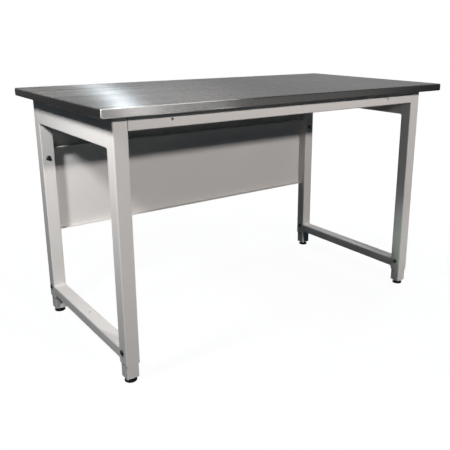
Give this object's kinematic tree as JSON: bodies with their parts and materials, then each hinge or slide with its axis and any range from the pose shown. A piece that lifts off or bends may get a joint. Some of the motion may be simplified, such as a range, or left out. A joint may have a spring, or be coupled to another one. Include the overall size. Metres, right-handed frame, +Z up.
{
  "type": "laboratory bench",
  "caption": "Free-standing laboratory bench: stainless steel clad top on a painted steel frame with a front rail, rear modesty panel, telescopic legs and levelling feet.",
  "frame": {"origin": "on the floor, below the middle of the worktop", "axes": "+X along the worktop to the user's right, +Y from the front to the modesty panel, +Z up"},
  "size_m": [1.524, 0.784, 0.915],
  "materials": {
    "stainless": "brushed along the length",
    "board": "raw particle board",
    "backer": "matte laminate",
    "grey_paint": "light grey powder coat, satin",
    "black_steel": "black oxide",
    "zinc": "bright zinc plate",
    "black_plastic": "black moulded plastic"
  },
  "bodies": {
    "frame": {"worktop_skin": "stainless", "worktop_core": "board", "worktop_backer": "backer", "post_front_left": "grey_paint", "post_front_right": "grey_paint", "post_rear_left": "grey_paint", "post_rear_right": "grey_paint", "upper_side_tube_left": "grey_paint", "upper_side_tube_right": "grey_paint", "lower_side_tube_left": "grey_paint", "lower_side_tube_right": "grey_paint", "front_rail": "grey_paint", "rail_bracket_left": "grey_paint", "rail_bracket_right": "grey_paint", "rail_bolt_post_left": "zinc", "rail_bolt_post_right": "zinc", "rail_bolt_rail_left": "zinc", "rail_bolt_rail_right": "zinc", "rear_stringer": "grey_paint", "stringer_bolt_lower_left": "zinc", "stringer_bolt_lower_right": "zinc", "stringer_bolt_upper_left": "zinc", "stringer_bolt_upper_right": "zinc", "modesty_panel": "grey_paint", "panel_bolt_left": "black_steel", "panel_bolt_right": "black_steel", "panel_nut_left": "black_steel", "panel_nut_right": "black_steel", "top_cleat_front_left": "grey_paint", "top_cleat_front_right": "grey_paint", "top_cleat_rear_left": "grey_paint", "top_cleat_rear_right": "grey_paint", "top_screw_cleat_front_left": "zinc", "top_screw_cleat_front_right": "zinc", "top_screw_cleat_rear_left": "zinc", "top_screw_cleat_rear_right": "zinc", "top_screw_stringer_left": "zinc", "top_screw_stringer_right": "zinc", "lock_bolt_front_left": "black_steel", "lock_bolt_front_right": "black_steel", "lock_bolt_rear_left": "black_steel", "lock_bolt_rear_right": "black_steel"},
    "insert_front_left": {"leg_insert_front_left": "grey_paint", "foot_plate_front_left": "zinc"},
    "insert_front_right": {"leg_insert_front_right": "grey_paint", "foot_plate_front_right": "zinc"},
    "insert_rear_left": {"leg_insert_rear_left": "grey_paint", "foot_plate_rear_left": "zinc"},
    "insert_rear_right": {"leg_insert_rear_right": "grey_paint", "foot_plate_rear_right": "zinc"},
    "stud_front_left": {"foot_stud_front_left": "zinc"},
    "stud_front_right": {"foot_stud_front_right": "zinc"},
    "stud_rear_left": {"foot_stud_rear_left": "zinc"},
    "stud_rear_right": {"foot_stud_rear_right": "zinc"},
    "pad_front_left": {"foot_pad_front_left": "black_plastic"},
    "pad_front_right": {"foot_pad_front_right": "black_plastic"},
    "pad_rear_left": {"foot_pad_rear_left": "black_plastic"},
    "pad_rear_right": {"foot_pad_rear_right": "black_plastic"}
  },
  "joints": [
    {"name": "insert_slide_front_left", "type": "slide", "parent": "frame", "child": "insert_front_left", "axis": [0, 0, -1], "range_m": [0, 0.1524]},
    {"name": "insert_slide_front_right", "type": "slide", "parent": "frame", "child": "insert_front_right", "axis": [0, 0, -1], "range_m": [0, 0.1524]},
    {"name": "insert_slide_rear_left", "type": "slide", "parent": "frame", "child": "insert_rear_left", "axis": [0, 0, -1], "range_m": [0, 0.1524]},
    {"name": "insert_slide_rear_right", "type": "slide", "parent": "frame", "child": "insert_rear_right", "axis": [0, 0, -1], "range_m": [0, 0.1524]},
    {"name": "stud_screw_front_left", "type": "slide", "parent": "insert_front_left", "child": "stud_front_left", "axis": [0, 0, -1], "range_m": [0, 0.025]},
    {"name": "stud_screw_front_right", "type": "slide", "parent": "insert_front_right", "child": "stud_front_right", "axis": [0, 0, -1], "range_m": [0, 0.025]},
    {"name": "stud_screw_rear_left", "type": "slide", "parent": "insert_rear_left", "child": "stud_rear_left", "axis": [0, 0, -1], "range_m": [0, 0.025]},
    {"name": "stud_screw_rear_right", "type": "slide", "parent": "insert_rear_right", "child": "stud_rear_right", "axis": [0, 0, -1], "range_m": [0, 0.025]},
    {"name": "pad_swivel_front_left", "type": "hinge", "parent": "stud_front_left", "child": "pad_front_left", "pos_m": [-0.678, -0.3045, 0], "axis": [0, 0, 1], "continuous": true},
    {"name": "pad_swivel_front_right", "type": "hinge", "parent": "stud_front_right", "child": "pad_front_right", "pos_m": [0.678, -0.3045, 0], "axis": [0, 0, 1], "continuous": true},
    {"name": "pad_swivel_rear_left", "type": "hinge", "parent": "stud_rear_left", "child": "pad_rear_left", "pos_m": [-0.678, 0.353, 0], "axis": [0, 0, 1], "continuous": true},
    {"name": "pad_swivel_rear_right", "type": "hinge", "parent": "stud_rear_right", "child": "pad_rear_right", "pos_m": [0.678, 0.353, 0], "axis": [0, 0, 1], "continuous": true}
  ]
}
